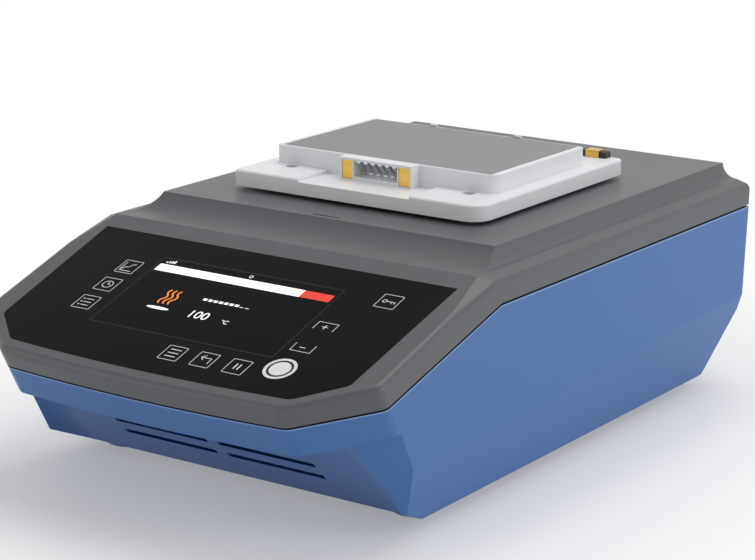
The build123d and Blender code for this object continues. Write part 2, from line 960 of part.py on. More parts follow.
def drive_shaft():
    """The motor's shaft with its crank disc, crank pin and the weight opposite the pin."""
    shaft = disc(shaft_radius, frame_plate_bottom - motor_height + 7, crank_bottom, 0, axis_y)
    hub = disc(shaft_radius + orbit_radius + crank_pin_radius, crank_bottom, crank_top, 0, axis_y)
    half = radians(counterweight_angle / 2)
    tip = counterweight_radius
    weight = Polyline((tip * sin(half), -tip * cos(half)), (0, 0), (-tip * sin(half), -tip * cos(half)))
    weight += ThreePointArc(
        (-tip * sin(half), -tip * cos(half)), (0, -tip), (tip * sin(half), -tip * cos(half))
    )
    sector = extrude(Pos(0, axis_y, crank_bottom) * make_face(weight), crank_thickness)
    pin = disc(crank_pin_radius, crank_top, crank_top + pin_length, 0, table_y)
    return shaft + hub + sector + pin


def idler_crank(x, y):
    """A small crank that keeps the table from turning."""
    shaft = disc(idler_shaft_radius, frame_plate_bottom - 1, crank_bottom, x, y)
    flange = disc(idler_disc_radius, crank_bottom, crank_top, x, y)
    pin = disc(idler_pin_radius, crank_top, crank_top + pin_length, x, y + orbit_radius)
    return shaft + flange + pin


def table_carrier():
    """The plate in the cover's opening, with bearing bosses hanging from it."""
    plate = slab(
        carrier_half_width,
        carrier_half_length,
        carrier_bottom,
        carrier_top,
        carrier_corner_radius,
        table_y,
    )
    seats = [(0.0, table_y, crank_pin_radius + fit_clearance)]
    for x, y in idler_spots().values():
        seats.append((x, y + orbit_radius, idler_pin_radius + open_pivot_clearance))
    for x, y, inner in seats:
        seat = inner + bearing_wall + bearing_fit
        plate += disc(seat + boss_wall, boss_bottom, carrier_bottom, x, y)
    for x, y, inner in seats:
        seat = inner + bearing_wall + bearing_fit
        plate -= disc(seat, boss_bottom, boss_bottom + bearing_width, x, y)
        plate -= disc(seat - 1.5, boss_bottom, crank_top + pin_length + 1, x, y)
    for x, y in table_screw_spots():
        plate -= disc(table_screw_radius, carrier_top - 5, carrier_top, x, y)
    return plate


def table_screw_spots():
    return [
        (side * table_screw_x, table_y + end * table_screw_y) for side in (-1, 1) for end in (-1, 1)
    ]


def fixing_spots():
    return [
        (side * fixing_half_x, table_y + end * fixing_half_y) for side in (-1, 1) for end in (-1, 1)
    ]


def table_tray():
    """The white tray: hollow below, with four fixing holes and a shallow notch in front."""
    tray = near_rounded(
        tray_half_width,
        tray_half_length,
        tray_bottom,
        tray_top,
        tray_corner_radius,
        tray_near_corner_radius,
        table_y,
    )
    tray = fillet(tray.faces().sort_by(Axis.Z)[-1].edges(), tray_edge_radius)
    tray -= slab(
        tray_half_width - tray_skirt,
        tray_half_length - tray_skirt,
        tray_bottom,
        carrier_top,
        tray_near_corner_radius - tray_skirt,
        table_y,
    )
    tray -= brick(
        -notch_half_width,
        notch_half_width,
        table_y - tray_half_length - 1,
        rim_front_y,
        tray_top - notch_depth,
        tray_top + 1,
    )
    for x, y in fixing_spots():
        tray -= disc(fixing_hole_radius, carrier_top - 1, tray_top + 1, x, y)
    for x, y in table_screw_spots():
        tray -= disc(table_screw_radius + fit_clearance, carrier_top - 1, tray_top, x, y)
        tray -= disc(table_screw_head + fit_clearance, tray_top - 2, tray_top, x, y)
    return tray


def table_screws():
    solids = []
    for x, y in table_screw_spots():
        shank = disc(table_screw_radius - fit_clearance, carrier_top - 4, tray_top - 0.3, x, y)
        solids.append(shank + disc(table_screw_head, tray_top - 2, tray_top - 0.3, x, y))
    return group(solids)


def table_rim():
    """The upright frame round the heating plate, cut away in front for the connector."""
    corner = plate_corner_radius + plate_clearance
    rim = near_rounded(
        rim_half_width,
        rim_half_length,
        tray_top,
        plate_top,
        rim_corner_radius,
        rim_near_corner_radius,
        table_y,
    )
    rim = fillet(rim.faces().sort_by(Axis.Z)[-1].edges(), rim_edge_radius)
    inner_x = plate_half_width + plate_clearance
    inner_y = plate_half_length + plate_clearance
    rim -= slab(inner_x, inner_y, tray_top - 1, plate_top + 1, corner, table_y)
    half = connector_half_width
    rim -= brick(-half, half, rim_front_y - 1, table_y, tray_top - 1, plate_top + 1)
    return rim


def connector_front_y():
    return rim_front_y - connector_projection


def block_middle_x():
    return connector_half_width - connector_border - block_width / 2


def connector_housing():
    """The white connector moulding: two side pockets for the blocks and a recess between."""
    half = connector_half_width
    front = connector_front_y()
    back = table_y - plate_half_length - plate_clearance
    floor = tray_top - notch_depth
    body = brick(-half, half, front, rim_front_y, floor, plate_top)
    body += brick(-half, half, rim_front_y, back, tray_top, plate_top)
    top = plate_top - connector_border
    for side in (-1, 1):
        x = side * block_middle_x()
        body -= brick(
            x - block_width / 2, x + block_width / 2, front - 1, front + block_depth, floor + 0.6, top
        )
    inner = block_middle_x() - block_width / 2 - connector_rib
    body -= brick(-inner, inner, front - 1, front + connector_recess_depth, tray_top + 0.2, top)
    return body


def contact_blocks():
    """Two brass blocks that earth the fitted attachment."""
    front = connector_front_y() + block_sunk
    back = connector_front_y() + block_depth
    low = tray_top - notch_depth + 0.6
    high = plate_top - connector_border
    solids = []
    for side in (-1, 1):
        x = side * block_middle_x()
        half = block_width / 2
        solid = brick(x - half, x + half, front, back, low, high)
        solids.append(fillet(solid.faces().sort_by(Axis.Y)[0].edges(), 0.3))
    return group(solids)


def contact_fingers():
    """Six leaf springs in the recess, sloping back as they go down."""
    front = connector_front_y() + 0.8
    top = plate_top - connector_border
    reach = connector_recess_depth - 0.8 - finger_thickness
    drop = finger_drop
    t = finger_thickness
    outline = Polyline(
        (front, top),
        (front + 1.5, top),
        (front + reach, top - drop),
        (front + reach, tray_top + 0.8),
        (front + reach - t, tray_top + 0.8),
        (front + reach - t, top - drop - t),
        (front, top - 1),
        close=True,
    )
    leaf = make_face(outline)
    solids = []
    for index in range(finger_count):
        x = (index - (finger_count - 1) / 2) * finger_pitch
        solids.append(extrude(Plane.YZ.offset(x - finger_width / 2) * leaf, finger_width))
    return group(solids)


def heating_plate():
    plate = slab(plate_half_width, plate_half_length, plate_bottom, plate_top, plate_corner_radius, table_y)
    top = plate.faces().sort_by(Axis.Z)[-1]
    return chamfer(top.edges(), 0.4)


def heater_mat():
    inset = 2.0
    mat = slab(
        plate_half_width - inset, plate_half_length - inset, heater_bottom, plate_bottom, 3, table_y
    )
    return mat


def insulation_pad():
    """The insulating board between the heater and the tray."""
    return slab(plate_half_width - 1, plate_half_length - 1, tray_top, heater_bottom, 3, table_y)


def block_clips():
    """Two sprung clips behind the rim that hold the back edge of an attachment."""
    back = table_y + rim_half_length
    solids = []
    for side in (-1, 1):
        x = side * clip_x
        half = clip_width / 2
        blade = brick(x - half, x + half, back, back + clip_thickness, tray_top, plate_top + clip_thickness)
        hook = brick(
            x - half, x + half, back - clip_hook, back, plate_top, plate_top + clip_thickness
        )
        solids.append(blade + hook)
    return group(solids)


def latch_block():
    """A small black block at the back right of the tray."""
    back = table_y + tray_half_length - tray_edge_radius
    half = latch_width / 2
    solid = brick(latch_x - half, latch_x + half, back - latch_length, back, tray_top, tray_top + latch_height)
    uprights = solid.edges().filter_by(Axis.Y).sort_by(Axis.Z)[-2:]
    return fillet(uprights, 1.2)


def latch_strip():
    """A brass strip bent over the black block."""
    back = table_y + tray_half_length - tray_edge_radius
    half = latch_strip_width / 2
    t = latch_strip_thickness
    top = tray_top + latch_height
    over = brick(latch_x - half, latch_x + half, back - latch_length - t, back, top, top + t)
    front = brick(
        latch_x - half, latch_x + half, back - latch_length - t, back - latch_length, tray_top, top
    )
    return over + front


def power_supply():
    """An enclosed supply with vent slots in its lid."""
    half = supply_width / 2
    y_low = supply_y - supply_length / 2
    y_high = supply_y + supply_length / 2
    top = chassis_top + supply_height
    body = brick(-half, half, y_low, y_high, chassis_top, top)
    for index in range(8):
        x = (index - 3.5) * supply_width / 10
        slot = SlotOverall(supply_length * 0.6, 3, rotation=90)
        body -= extrude(Pos(x, supply_y, top - 1) * slot, 2)
    return body


def driver_board():
    """The motor and heater driver on four spacers, with its heat sink and capacitors."""
    bottom = chassis_top + standoff_height
    top = bottom + board_thickness
    y_low = driver_y - driver_length / 2
    board = brick(-driver_width / 2, driver_width / 2, y_low, y_low + driver_length, bottom, top)
    for spot in GridLocations(driver_width - 10, driver_length - 10, 2, 2):
        board += Pos(0, driver_y) * spot * disc(2.5, chassis_top, bottom)
    for x in (-38, -26, -14):
        board += disc(4.5, top, top + 14, x, driver_y - 8)
    board += brick(0, 36, driver_y - 12, driver_y + 12, top, top + 3)
    for index in range(6):
        x = index * 7.0
        board += brick(x, x + 1.2, driver_y - 12, driver_y + 12, top + 3, top + 12)
    return board


def rear_brick(place, x, y, half_x, half_y, z_low, z_high):
    """A block on a rear frame: x and y are its middle, z runs outwards from the face."""
    middle = Pos(x, y, (z_low + z_high) / 2)
    return place * (middle * Box(2 * half_x, 2 * half_y, z_high - z_low))


def rear_openings():
    """What is cut through the lower casing's back."""
    deep = 3 * wall
    inlet = rear_place(inlet_x, inlet_height)
    cuts = [
        rear_brick(
            inlet,
            0,
            0,
            inlet_flange_width / 2 - 3,
            inlet_flange_height / 2 - 2,
            -deep,
            deep,
        )
    ]
    switch = rear_place(switch_x, inlet_height)
    cuts.append(
        rear_brick(
            switch, 0, 0, switch_flange_width / 2 - 1.2, switch_flange_height / 2 - 1.2, -deep, deep
        )
    )
    usb = rear_place(usb_x, port_height)
    cuts.append(rear_brick(usb, 0, 0, usb_width / 2, usb_height / 2, -deep, deep))
    serial = rear_place(serial_x, port_height)
    cuts.append(rear_brick(serial, 0, 0, serial_width / 2, serial_height / 2, -deep, deep))
    fan = rear_place(fan_x, fan_height)
    for index in range(grille_slots):
        across = (index - (grille_slots - 1) / 2) * grille_slot_pitch
        reach = fan_size / 2 - 3
        half = (reach**2 - across**2) ** 0.5
        slot = SlotOverall(2 * half, grille_slot_width, rotation=90)
        cuts.append(fan * (Pos(across, 0, -deep) * extrude(slot, 2 * deep)))
    return cuts


def inlet_socket():
    """The mains inlet: a screwed flange, the socket's cavity and the fuse drawer's pocket."""
    place = rear_place(inlet_x, inlet_height)
    half_w = inlet_flange_width / 2
    half_h = inlet_flange_height / 2
    top = inlet_flange_thickness
    flange = extrude(RectangleRounded(2 * half_w, 2 * half_h, 3), top)
    body = rear_brick(Plane.XY, 0, 0, half_w - 3.3, half_h - 2.3, -inlet_body_depth, 0)
    shape = flange + body
    shape -= rear_brick(
        Plane.XY, socket_offset, 0, socket_width / 2, socket_height / 2, top - socket_depth, top + 1
    )
    pocket_w = fuse_drawer_width / 2 + button_gap
    pocket_h = fuse_drawer_height / 2 + button_gap
    shape -= rear_brick(
        Plane.XY, fuse_drawer_offset, 0, pocket_w, pocket_h, top - fuse_drawer_depth - 1, top + 1
    )
    return place * shape


def inlet_pins():
    """Line, neutral and earth blades standing in the socket."""
    place = rear_place(inlet_x, inlet_height)
    top = inlet_flange_thickness
    spots = ((socket_offset - 7, -2.5), (socket_offset + 7, -2.5), (socket_offset, 3.5))
    solids = []
    for x, y in spots:
        solids.append(rear_brick(place, x, y, 1, 2, top - socket_depth, top - 3))
    return group(solids)


def fuse_drawer():
    """The drawer beside the socket, with a finger lip."""
    place = rear_place(inlet_x, inlet_height)
    half_w = fuse_drawer_width / 2
    half_h = fuse_drawer_height / 2
    top = inlet_flange_thickness
    body = rear_brick(Plane.XY, fuse_drawer_offset, 0, half_w, half_h, top - fuse_drawer_depth, top)
    body += rear_brick(Plane.XY, fuse_drawer_offset - half_w + 1, 0, 0.9, half_h - 3, top, top + 1.4)
    return place * body


def switch_frame():
    """The power switch's frame and body, open in front for the rocker."""
    place = rear_place(switch_x, inlet_height)
    flange = extrude(RectangleRounded(switch_flange_width, switch_flange_height, 1.5), flange_proud)
    half_w = switch_flange_width / 2 - 1.5
    half_h = switch_flange_height / 2 - 1.5
    shape = flange + rear_brick(Plane.XY, 0, 0, half_w, half_h, -switch_body_depth, 0)
    room_h = rocker_room()
    room_w = rocker_width / 2 + button_gap
    shape -= rear_brick(Plane.XY, 0, 0, room_w, room_h, -rocker_radius, flange_proud + 1)
    pivot = Pos(0, 0, rocker_pivot_depth) * Rot(0, 90, 0)
    shape += pivot * Cylinder(rocker_pin_radius, 2 * room_w + 1)
    return place * shape


def rocker_reach():
    return hypot(rocker_height / 2, rocker_proud - rocker_pivot_depth)


def rocker_room():
    return rocker_reach() + button_gap


def power_rocker():
    """A rocker with two sloping faces, lying over to its off side at rest."""
    half = rocker_height / 2
    depth = rocker_pivot_depth
    outline = Polyline(
        (-half, rocker_proud),
        (0, rocker_proud - rocker_dish),
        (half, rocker_proud),
        (half * 0.55, depth - 3.2),
        (-half * 0.55, depth - 3.2),
        close=True,
    )
    rocker = extrude(Plane.YZ.offset(-rocker_width / 2) * make_face(outline), rocker_width)
    pivot = Pos(0, 0, depth) * Rot(0, 90, 0)
    rocker -= pivot * Cylinder(rocker_pin_radius + fit_clearance, 2 * rocker_width)
    tilted = Pos(0, 0, depth) * Rot(rocker_swing, 0, 0) * Pos(0, 0, -depth) * rocker
    return rear_place(switch_x, inlet_height) * tilted


def usb_port():
    place = rear_place(usb_x, port_height)
    half_w = usb_width / 2 - fit_clearance
    half_h = usb_height / 2 - fit_clearance
    shell = rear_brick(Plane.XY, 0, 0, half_w, half_h, -port_depth, port_proud)
    shell -= rear_brick(Plane.XY, 0, 0, half_w - 1, half_h - 1, port_proud - 8, port_proud + 1)
    shell += rear_brick(Plane.XY, 0, 0, 2.8, 1.6, port_proud - 8.5, port_proud - 1)
    return place * shell


def serial_port():
    """A nine-hole connector with its two jack screws."""
    place = rear_place(serial_x, port_height)
    half_w = serial_width / 2 - fit_clearance
    half_h = serial_height / 2 - fit_clearance
    shape = rear_brick(Plane.XY, 0, 0, half_w, half_h, -port_depth, port_proud * 0.4)
    shell = Polyline((-8.2, 3.9), (8.2, 3.9), (7.2, -3.9), (-7.2, -3.9), close=True)
    shape += extrude(make_face(shell), serial_shell_proud)
    for row, count in ((1.4, 5), (-1.4, 4)):
        for index in range(count):
            x = (index - (count - 1) / 2) * 2.76
            shape -= Pos(x, row, serial_shell_proud) * Cylinder(0.55, 8)
    for side in (-1, 1):
        shape += Pos(side * 12.5, 0, port_proud) * Cylinder(2.4, 2 * port_proud)
    return place * shape


def fan_place():
    return rear_place(fan_x, fan_height).offset(-wall)


def fan_bore():
    return fan_size / 2 - fan_wall


def fan_frame():
    """The fan's square frame with its three struts, its hub plate and the rotor's pin."""
    frame = extrude(RectangleRounded(fan_size, fan_size, 3), -fan_depth)
    frame -= Pos(0, 0, -fan_depth / 2) * Cylinder(fan_bore(), 2 * fan_depth)
    plate = 1.5
    low = -fan_depth
    hub = Pos(0, 0, low + plate / 2) * Cylinder(fan_hub_radius, plate)
    for spot in PolarLocations(fan_bore() / 2, 3, 30):
        hub += Pos(0, 0, low + plate / 2) * spot * Box(fan_bore() + 1, 2.4, plate)
    pin = Pos(0, 0, (low + fan_clearance * -1) / 2) * Cylinder(fan_pin_radius, -low - fan_clearance)
    return fan_place() * (frame + hub + pin)


def fan_rotor():
    """A hub with seven pitched blades."""
    low = -fan_depth + 1.5 + fan_clearance
    high = -fan_clearance
    middle = (low + high) / 2
    height = high - low
    hub = Pos(0, 0, middle) * Cylinder(fan_hub_radius - 0.5, height)
    blades = Part()
    reach = fan_bore() - fan_clearance
    for spot in PolarLocations(reach / 2, fan_blades):
        blades += spot * Rot(fan_blade_pitch, 0, 0) * Box(reach, 10, 1)
    blades &= Cylinder(reach, height - 0.4)
    rotor = hub + Pos(0, 0, middle) * blades
    rotor -= Pos(0, 0, middle) * Cylinder(fan_pin_radius + fit_clearance, 2 * fan_depth)
    return fan_place() * rotor


parts = {
    "lower_casing": lower_casing,
    "top_cover": top_cover,
    "glass_panel": glass_panel,
    "display_module": display_module,
    "controller_board": controller_board,
    "button_sleeve": button_sleeve,
    "light_ring": light_ring,
    "start_button": start_button,
    "foot_pads": foot_pads,
    "casing_screws": casing_screws,
    "chassis_plate": chassis_plate,
    "chassis_screws": chassis_screws,
    "drive_pillars": drive_pillars,
    "drive_frame": drive_frame,
    "frame_screws": frame_screws,
    "motor": motor,
    "motor_screws": motor_screws,
    "main_bearing": main_bearing,
    "idler_bearings": idler_bearings,
    "drive_shaft": drive_shaft,
    "table_carrier": table_carrier,
    "carrier_bearings": carrier_bearings,
    "table_tray": table_tray,
    "table_screws": table_screws,
    "table_rim": table_rim,
    "connector_housing": connector_housing,
    "contact_blocks": contact_blocks,
    "contact_fingers": contact_fingers,
    "insulation_pad": insulation_pad,
    "heater_mat": heater_mat,
    "heating_plate": heating_plate,
    "block_clips": block_clips,
    "latch_block": latch_block,
    "latch_strip": latch_strip,
    "power_supply": power_supply,
    "driver_board": driver_board,
    "inlet_socket": inlet_socket,
    "inlet_pins": inlet_pins,
    "fuse_drawer": fuse_drawer,
    "switch_frame": switch_frame,
    "power_rocker": power_rocker,
    "usb_port": usb_port,
    "serial_port": serial_port,
    "fan_frame": fan_frame,
    "fan_rotor": fan_rotor,
}

os.makedirs("parts", exist_ok=True)
for name, make in parts.items():
    save(name, make())
for name, (x, y) in idler_spots().items():
    save(f"idler_crank_{name}", idler_crank(x, y))
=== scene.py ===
import json
from math import cos, radians, sin

import bmesh
import bpy
from mathutils import Matrix, Vector


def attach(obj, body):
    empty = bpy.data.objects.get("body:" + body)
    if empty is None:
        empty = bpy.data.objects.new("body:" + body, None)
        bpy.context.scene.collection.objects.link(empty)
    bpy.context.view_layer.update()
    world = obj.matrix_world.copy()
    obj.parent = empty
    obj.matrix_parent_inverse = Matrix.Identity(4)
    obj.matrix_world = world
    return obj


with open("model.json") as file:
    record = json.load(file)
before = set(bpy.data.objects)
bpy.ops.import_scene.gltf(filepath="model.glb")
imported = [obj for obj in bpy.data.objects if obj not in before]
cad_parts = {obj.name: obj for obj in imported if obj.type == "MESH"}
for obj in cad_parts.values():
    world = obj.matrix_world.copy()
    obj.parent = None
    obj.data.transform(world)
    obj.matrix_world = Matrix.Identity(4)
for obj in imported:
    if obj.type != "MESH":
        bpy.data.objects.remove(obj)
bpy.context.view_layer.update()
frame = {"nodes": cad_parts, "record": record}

MM = 0.001


# Shader maths

class Value:
    """A number or a socket in a finish's node tree that takes part in shader maths."""

    def __init__(self, tree, socket):
        self.tree = tree
        self.socket = socket

    def combine(self, operation, first, second=None):
        node = self.tree.nodes.new("ShaderNodeMath")
        node.operation = operation
        connect(self.tree, node.inputs[0], first)
        if second is not None:
            connect(self.tree, node.inputs[1], second)
        return Value(self.tree, node.outputs[0])

    def __add__(self, other):
        return self.combine("ADD", self, other)

    def __radd__(self, other):
        return self.combine("ADD", other, self)

    def __sub__(self, other):
        return self.combine("SUBTRACT", self, other)

    def __rsub__(self, other):
        return self.combine("SUBTRACT", other, self)

    def __mul__(self, other):
        return self.combine("MULTIPLY", self, other)

    def __rmul__(self, other):
        return self.combine("MULTIPLY", other, self)

    def __truediv__(self, other):
        return self.combine("DIVIDE", self, other)

    def __pow__(self, other):
        return self.combine("POWER", self, other)

    def __lt__(self, other):
        return self.combine("LESS_THAN", self, other)

    def __abs__(self):
        return self.combine("ABSOLUTE", self)

    def least(self, other):
        return self.combine("MINIMUM", self, other)


def connect(tree, socket, value):
    if isinstance(value, Value):
        tree.links.new(value.socket, socket)
    else:
        socket.default_value = value


def colour(red, green, blue):
    """A colour given as the 0 to 255 values of a picture, as the shader wants it."""
    def linear(level):
        level /= 255
        return level / 12.92 if level <= 0.04045 else ((level + 0.055) / 1.055) ** 2.4
    return (linear(red), linear(green), linear(blue), 1.0)


def shade(base, factor):
    return (base[0] * factor, base[1] * factor, base[2] * factor, 1.0)


class Finish:
    """One material, with its shader and the nodes that vary it."""

    def __init__(self, name, base, roughness, metallic=0.0, **constants):
        self.material = bpy.data.materials.new(name)
        self.material.use_nodes = True
        self.tree = self.material.node_tree
        self.shader = self.tree.nodes["Principled BSDF"]
        self.base = base
        self.roughness = roughness
        self.feed("Base Color", base)
        self.feed("Roughness", roughness)
        self.feed("Metallic", metallic)
        for socket, value in constants.items():
            self.feed(socket.replace("_", " "), value)

    def node(self, kind, settings, sockets, output=0):
        """One node: its settings are set first, then the values or links of its sockets."""
        made = self.tree.nodes.new("ShaderNode" + kind)
        for setting, value in settings.items():
            setattr(made, setting, value)
        for socket, value in sockets.items():
            connect(self.tree, made.inputs[socket], value)
        return Value(self.tree, made.outputs[output])

    def feed(self, socket, value):
        connect(self.tree, self.shader.inputs[socket], value)

    def place(self):
        return self.node("TexCoord", {}, {}, "Object")

    def along(self, axis):
        """The place along one axis, in metres."""
        return self.node("SeparateXYZ", {}, {"Vector": self.place()}, axis)

    def noise(self, size, detail=2.0, stretch=(1, 1, 1), seed=0.0):
        """Noise whose features are about the given size in millimetres."""
        scale = tuple(1 / (size * MM * factor) for factor in stretch)
        spot = self.node(
            "Mapping", {}, {"Vector": self.place(), "Scale": scale, "Location": (seed, seed, seed)}
        )
        return self.node(
            "TexNoise", {}, {"Vector": spot, "Scale": 1.0, "Detail": detail, "Roughness": 0.55}
        )

    def tint(self, amount, first, second):
        """A colour between two, by an amount from 0 to 1."""
        return self.node("Mix", {"data_type": "RGBA"}, {0: amount, 6: first, 7: second}, 2)

    def shades(self, amount, darkest, lightest):
        """The finish's own colour, from its darkest to its lightest factor."""
        return self.tint(amount, shade(self.base, darkest), shade(self.base, lightest))

    def vary_gloss(self, amount, spread):
        """Roughness that wanders half its spread to either side of the finish's own."""
        self.feed("Roughness", self.roughness + spread * (amount - 0.5))

    def relief(self, height, depth):
        """Bumps from a height, as deep as given in millimetres."""
        bump = self.node("Bump", {}, {"Height": height, "Strength": 1.0, "Distance": depth * MM})
        self.feed("Normal", bump)

    def ramp(self, value, low, high):
        """0 below low, 1 above high."""
        return self.node("MapRange", {"clamp": True}, {"Value": value, 1: low, 2: high, 3: 0.0, 4: 1.0})


# Kinds of finish. Grain and depth are in millimetres.

def moulded(name, base, roughness, grain, depth, mottle, **constants):
    """Moulded plastic: a fine even texture, and a very slight mottle in its colour and gloss."""
    finish = Finish(name, base, roughness, **constants)
    fine = finish.noise(grain, detail=3.0)
    broad = finish.noise(38.0)
    finish.tone = finish.shades(fine * 0.35 + broad * 0.65, 1 - mottle, 1 + mottle)
    finish.feed("Base Color", finish.tone)
    finish.vary_gloss(0.5 * fine + 0.5 * broad, 0.1)
    finish.relief(fine, depth)
    return finish


def machined(name, base, roughness, stretch=(12, 1, 1), grain=0.25):
    """Metal with fine lines left by its tool."""
    finish = Finish(name, base, roughness, metallic=1.0)
    lines = finish.noise(grain, 3.0, stretch)
    broad = finish.noise(20.0)
    finish.feed("Base Color", finish.shades(lines * 0.6 + broad * 0.4, 0.9, 1.08))
    finish.vary_gloss(lines, 0.16)
    finish.relief(lines, 0.004)
    return finish


def blasted(name, base, roughness, metallic, grain, depth):
    """Bead-blasted metal: a fine matte grain with a few faint smears."""
    finish = Finish(name, base, roughness, metallic)
    fine = finish.noise(grain, detail=4.0)
    broad = finish.noise(45.0, detail=3.0, stretch=(2.5, 1, 1))
    finish.feed("Base Color", finish.shades(0.4 * fine + 0.6 * broad, 0.93, 1.07))
    finish.vary_gloss(broad, 0.12)
    finish.relief(fine, depth)
    return finish


# The lower casing's upper edge: it rises to the kink and then runs level

PARTING_HEIGHT = 97.9 * MM
PARTING_KINK = -59.7 * MM
PARTING_RISE = 0.3
# Painted shade in the seam: above this depth below the parting, the casing and its tongue are coloured
# navy.
SEAM_SHADE_DEPTH = 0.12 * MM
# Painted highlight along the casing's upper edge: how far below the parting it reaches, and how strongly
# it pales the blue.
HIGHLIGHT_DEPTH = 0.9 * MM
HIGHLIGHT_STRENGTH = 0.55


def blue_casing():
    """Blue moulded casing, with a painted highlight: a paler line along its upper edge; and painted
    shade: a navy tongue above it in the seam.
    """
    finish = moulded(
        "blue casing plastic", colour(66, 112, 176), roughness=0.42, grain=0.6, depth=0.014, mottle=0.04
    )
    rise = PARTING_RISE * (finish.along("Y") - PARTING_KINK)
    parting = (PARTING_HEIGHT + rise).least(PARTING_HEIGHT)
    below = parting - finish.along("Z")
    # Painted highlight: a paler strip just below the parting stands in for the light caught by the
    # rounded upper edge.
    pale = (below < HIGHLIGHT_DEPTH) * HIGHLIGHT_STRENGTH
    edge = finish.tint(pale, finish.tone, colour(150, 184, 226))
    # Painted shade: the tongue that shows through the seam is coloured navy so that the seam reads dark.
    finish.feed("Base Color", finish.tint(below < SEAM_SHADE_DEPTH, edge, colour(14, 24, 46)))
    return finish


def printed_glass():
    """Glass printed black from behind, with the faintest haze of handling."""
    finish = Finish("panel glass printed black", colour(17, 18, 17), 0.22, Specular_IOR_Level=0.1)
    haze = finish.noise(60.0, detail=4.0)
    finish.vary_gloss(haze, 0.12)
    finish.feed("Base Color", finish.shades(haze, 0.92, 1.1))
    return finish


def lit(name, base, strength):
    """A glowing finish: a lit field of the display, or the print on the glass, whose glow is painted
    light.
    """
    finish = Finish(name, base, 0.5, Emission_Strength=strength)
    dots = finish.noise(0.5, detail=1.0)
    finish.feed("Emission Color", finish.shades(dots, 0.97, 1.03))
    finish.feed("Base Color", finish.shades(dots, 0.9, 1.0))
    return finish


def circuit_board():
    """Green solder mask with tracks and pads."""
    tracks_per_metre = 260
    finish = Finish("green circuit board", colour(28, 96, 62), 0.35)
    spot = finish.node("Mapping", {}, {"Vector": finish.place(), "Scale": (tracks_per_metre,) * 3})
    brick = finish.node(
        "TexBrick", {"offset": 0.37}, {"Vector": spot, "Scale": 1.0, "Mortar Size": 0.06}, "Fac"
    )
    cells = finish.node("TexVoronoi", {}, {"Vector": spot, "Scale": 0.8}, "Distance")
    pads = cells < 0.12
    tracked = finish.shades(brick, 0.9, 1.5)
    finish.feed("Base Color", finish.tint(pads, tracked, colour(196, 186, 150)))
    finish.feed("Metallic", pads * 0.8)
    finish.relief(brick + pads, 0.03)
    return finish


def rubber_pad():
    """Rubber with a coarse grain."""
    finish = Finish("black foot rubber", colour(34, 34, 35), 0.8)
    fine = finish.noise(0.9, detail=4.0)
    finish.feed("Base Color", finish.shades(fine, 0.75, 1.3))
    finish.relief(fine, 0.05)
    return finish


def fibre_board():
    """Pressed board, with fibres that lie both ways."""
    finish = Finish("pressed insulating board", colour(214, 209, 196), 0.9)
    fibres = finish.noise(0.6, detail=5.0, stretch=(7, 1, 1))
    cross = finish.noise(0.6, detail=5.0, stretch=(1, 7, 1), seed=3.0)
    felt = 0.5 * fibres + 0.5 * cross
    finish.feed("Base Color", finish.shades(felt, 0.8, 1.05))
    finish.relief(felt, 0.08)
    return finish


def heater_rubber():
    """Silicone heater mat with its wound wire showing through as a faint ripple."""
    finish = Finish("orange heater mat", colour(178, 78, 34), 0.5)
    ripple = finish.node(
        "TexWave",
        {"wave_type": "BANDS"},
        {"Vector": finish.place(), "Scale": 60.0, "Distortion": 1.0},
        "Fac",
    )
    finish.feed("Base Color", finish.shades(ripple, 0.85, 1.1))
    finish.relief(ripple, 0.1)
    return finish


# Finishes of the solids, by their material slot. Lines left by a tool run across the long stretch.

ALONG_Y = (1, 14, 1)
ROUND_THE_AXIS = (1, 1, 20)

nickel = machined("nickel plating", colour(208, 205, 198), 0.2, (1, 10, 1))

finish_of_slot = {
    "casing_blue": blue_casing(),
    "cover_grey": moulded(
        "grey cover plastic", colour(92, 94, 97), roughness=0.4, grain=0.5, depth=0.01, mottle=0.04
    ),
    "panel_glass": printed_glass(),
    "display_black": moulded(
        "dark display face", colour(20, 21, 24), roughness=0.25, grain=1.2, depth=0.0, mottle=0.1
    ),
    "board_green": circuit_board(),
    "black_plastic": moulded(
        "black moulded plastic", colour(30, 30, 32), roughness=0.45, grain=0.5, depth=0.015, mottle=0.1
    ),
    "light_ring": moulded(
        "white light ring", colour(232, 236, 240), roughness=0.35, grain=0.4, depth=0.003, mottle=0.02
    ),
    "button_white": moulded(
        "white button cap", colour(238, 239, 240), roughness=0.3, grain=0.4, depth=0.003, mottle=0.02
    ),
    "foot_rubber": rubber_pad(),
    "zinc_steel": machined("zinc plated steel", colour(176, 178, 180), 0.32),
    "sheet_steel": machined("plated sheet steel", colour(184, 185, 186), 0.38, ALONG_Y),
    "aluminium": machined("machined aluminium", colour(196, 198, 200), 0.3),
    "motor_case": blasted(
        "cast motor case", colour(92, 94, 97), roughness=0.5, metallic=1.0, grain=0.5, depth=0.01
    ),
    "bearing_steel": machined("ground bearing steel", colour(190, 191, 193), 0.2, ROUND_THE_AXIS),
    "shaft_steel": machined("ground shaft steel", colour(176, 176, 178), 0.22, ROUND_THE_AXIS),
    "white_plastic": moulded(
        "white tray plastic", colour(232, 234, 236), roughness=0.38, grain=0.5, depth=0.006, mottle=0.02
    ),
    "contact_brass": machined(
        "polished contact brass", colour(226, 184, 92), 0.28, (1, 1, 10), grain=0.3
    ),
    "spring_steel": machined("bright spring steel", colour(214, 215, 217), 0.25, (1, 1, 12)),
    "plate_aluminium": blasted(
        "blasted heating plate",
        colour(150, 151, 153),
        roughness=0.55,
        metallic=0.55,
        grain=0.6,
        depth=0.012,
    ),
    "heater_orange": heater_rubber(),
    "insulation": fibre_board(),
    "pin_nickel": nickel,
    "port_metal": nickel,
}

for entry in frame["record"]["subparts"]:
    node = frame["nodes"][entry["node"]]
    node.data.materials.clear()
    node.data.materials.append(finish_of_slot[entry["material_slot"]].material)
